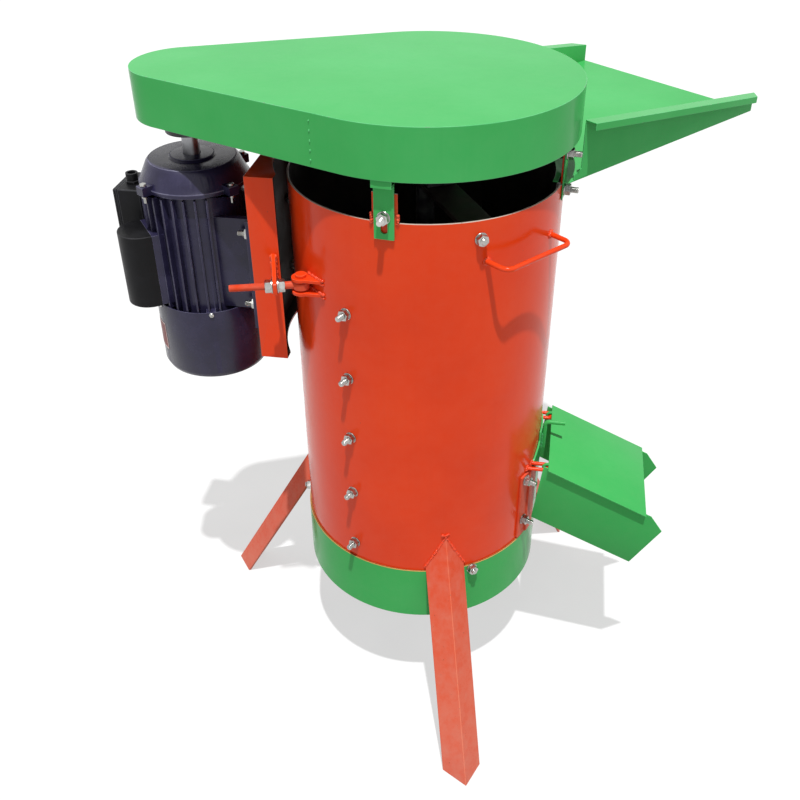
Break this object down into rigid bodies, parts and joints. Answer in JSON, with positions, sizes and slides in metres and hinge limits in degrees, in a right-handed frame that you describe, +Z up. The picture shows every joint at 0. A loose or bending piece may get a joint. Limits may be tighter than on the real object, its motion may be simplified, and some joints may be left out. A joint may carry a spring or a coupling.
{
  "type": "walnut huller",
  "caption": "Upright drum walnut huller on angle-iron legs with a belt-driven turntable, belt guard, feed chute, lifting gate and discharge hood.",
  "frame": {"origin": "on the floor, below the middle of the machine's outline", "axes": "+Z up along the drum, +X from the motor towards the discharge hood, +Y away from the viewer"},
  "size_m": [1.0626, 0.9772, 1.152],
  "materials": {
    "orange_paint": "gloss orange-red enamel",
    "green_paint": "gloss green enamel",
    "motor_paint": "satin dark blue-grey enamel",
    "black_plastic": "moulded, matte",
    "zinc_steel": "zinc plated",
    "bright_steel": "turned",
    "mill_steel": "mill finish",
    "grey_iron": "machined casting",
    "belt_rubber": "woven rubber cover",
    "capacitor_can": "drawn can"
  },
  "bodies": {
    "frame": {"drum_shell": "orange_paint", "bottom_ring": "green_paint", "leg_front": "orange_paint", "leg_left": "orange_paint", "leg_rear": "orange_paint", "ring_bolts": "zinc_steel", "bottom_grate": "mill_steel", "lower_bridge": "mill_steel", "lower_bearing": "grey_iron", "upper_bridge": "mill_steel", "upper_bearing": "grey_iron", "bearing_bolts": "zinc_steel", "bridge_bolts": "zinc_steel", "wall_scraper_front": "mill_steel", "wall_scraper_rear": "mill_steel", "scraper_bolts": "zinc_steel", "v_belt": "belt_rubber", "belt_guard": "green_paint", "guard_strap_front": "green_paint", "guard_strap_rear": "green_paint", "guard_bolts": "zinc_steel", "feed_chute": "green_paint", "feed_bolts": "zinc_steel", "gate_guide_near": "orange_paint", "gate_guide_far": "orange_paint", "guide_bolts": "zinc_steel", "hood_staples": "orange_paint", "carry_handle": "orange_paint", "hinge_lugs": "orange_paint", "hinge_pins": "zinc_steel", "clevis": "orange_paint", "clevis_pin": "zinc_steel"},
    "rotor": {"main_shaft": "bright_steel", "turntable": "mill_steel", "beater_bars": "mill_steel", "driven_pulley": "grey_iron", "pulley_nut": "zinc_steel"},
    "motor_unit": {"motor_plate": "orange_paint", "motor_frame": "motor_paint", "motor_stator": "mill_steel", "motor_bell": "motor_paint", "bell_bolts": "zinc_steel", "fan_cover": "motor_paint", "fan_cover_screws": "zinc_steel", "terminal_box": "black_plastic", "terminal_lid": "black_plastic", "cable_gland": "black_plastic", "capacitor_cover": "black_plastic", "run_capacitor": "capacitor_can", "foot_bolts": "zinc_steel"},
    "motor_rotor": {"motor_rotor": "bright_steel", "motor_pulley": "grey_iron", "cooling_fan": "black_plastic"},
    "eye_bolt": {"eye_bolt": "orange_paint"},
    "adjuster_nuts": {"adjuster_nuts": "zinc_steel"},
    "gate": {"gate": "green_paint", "gate_handle": "green_paint"},
    "hood": {"discharge_hood": "green_paint"}
  },
  "joints": [
    {"name": "rotor_spin", "type": "hinge", "parent": "frame", "child": "rotor", "pos_m": [-0.0013, -0.06785, 0.329], "axis": [0, 0, 1], "continuous": true},
    {"name": "motor_plate_swing", "type": "hinge", "parent": "frame", "child": "motor_unit", "pos_m": [-0.22631, 0.09215, 0.861], "axis": [0, 0, 1], "range_deg": [-2, 1.5], "deforming": ["v_belt"]},
    {"name": "motor_spin", "type": "hinge", "parent": "motor_unit", "child": "motor_rotor", "pos_m": [-0.38931, -0.06785, 0.86], "axis": [0, 0, 1], "continuous": true},
    {"name": "eye_bolt_swing", "type": "hinge", "parent": "frame", "child": "eye_bolt", "pos_m": [-0.17221, -0.2306, 0.866], "axis": [0, 0, 1], "range_deg": [-4.5, 3.5]},
    {"name": "nut_travel", "type": "slide", "parent": "eye_bolt", "child": "adjuster_nuts", "axis": [-0.9613, -0.2756, 0], "range_m": [-0.01, 0.013]},
    {"name": "gate_lift", "type": "slide", "parent": "frame", "child": "gate", "axis": [0, 0, 1], "range_m": [0, 0.11]},
    {"name": "hood_swing", "type": "hinge", "parent": "frame", "child": "hood", "pos_m": [0.23669, -0.06785, 0.484], "axis": [0, -1, 0], "range_deg": [0, 40]}
  ],
  "couplings": [
    {"joint": "motor_spin", "follows": "rotor_spin", "ratio": 4.8421},
    {"joint": "eye_bolt_swing", "follows": "motor_plate_swing", "ratio": 1.9015},
    {"joint": "nut_travel", "follows": "motor_plate_swing", "m_per_rad": -0.32516}
  ]
}
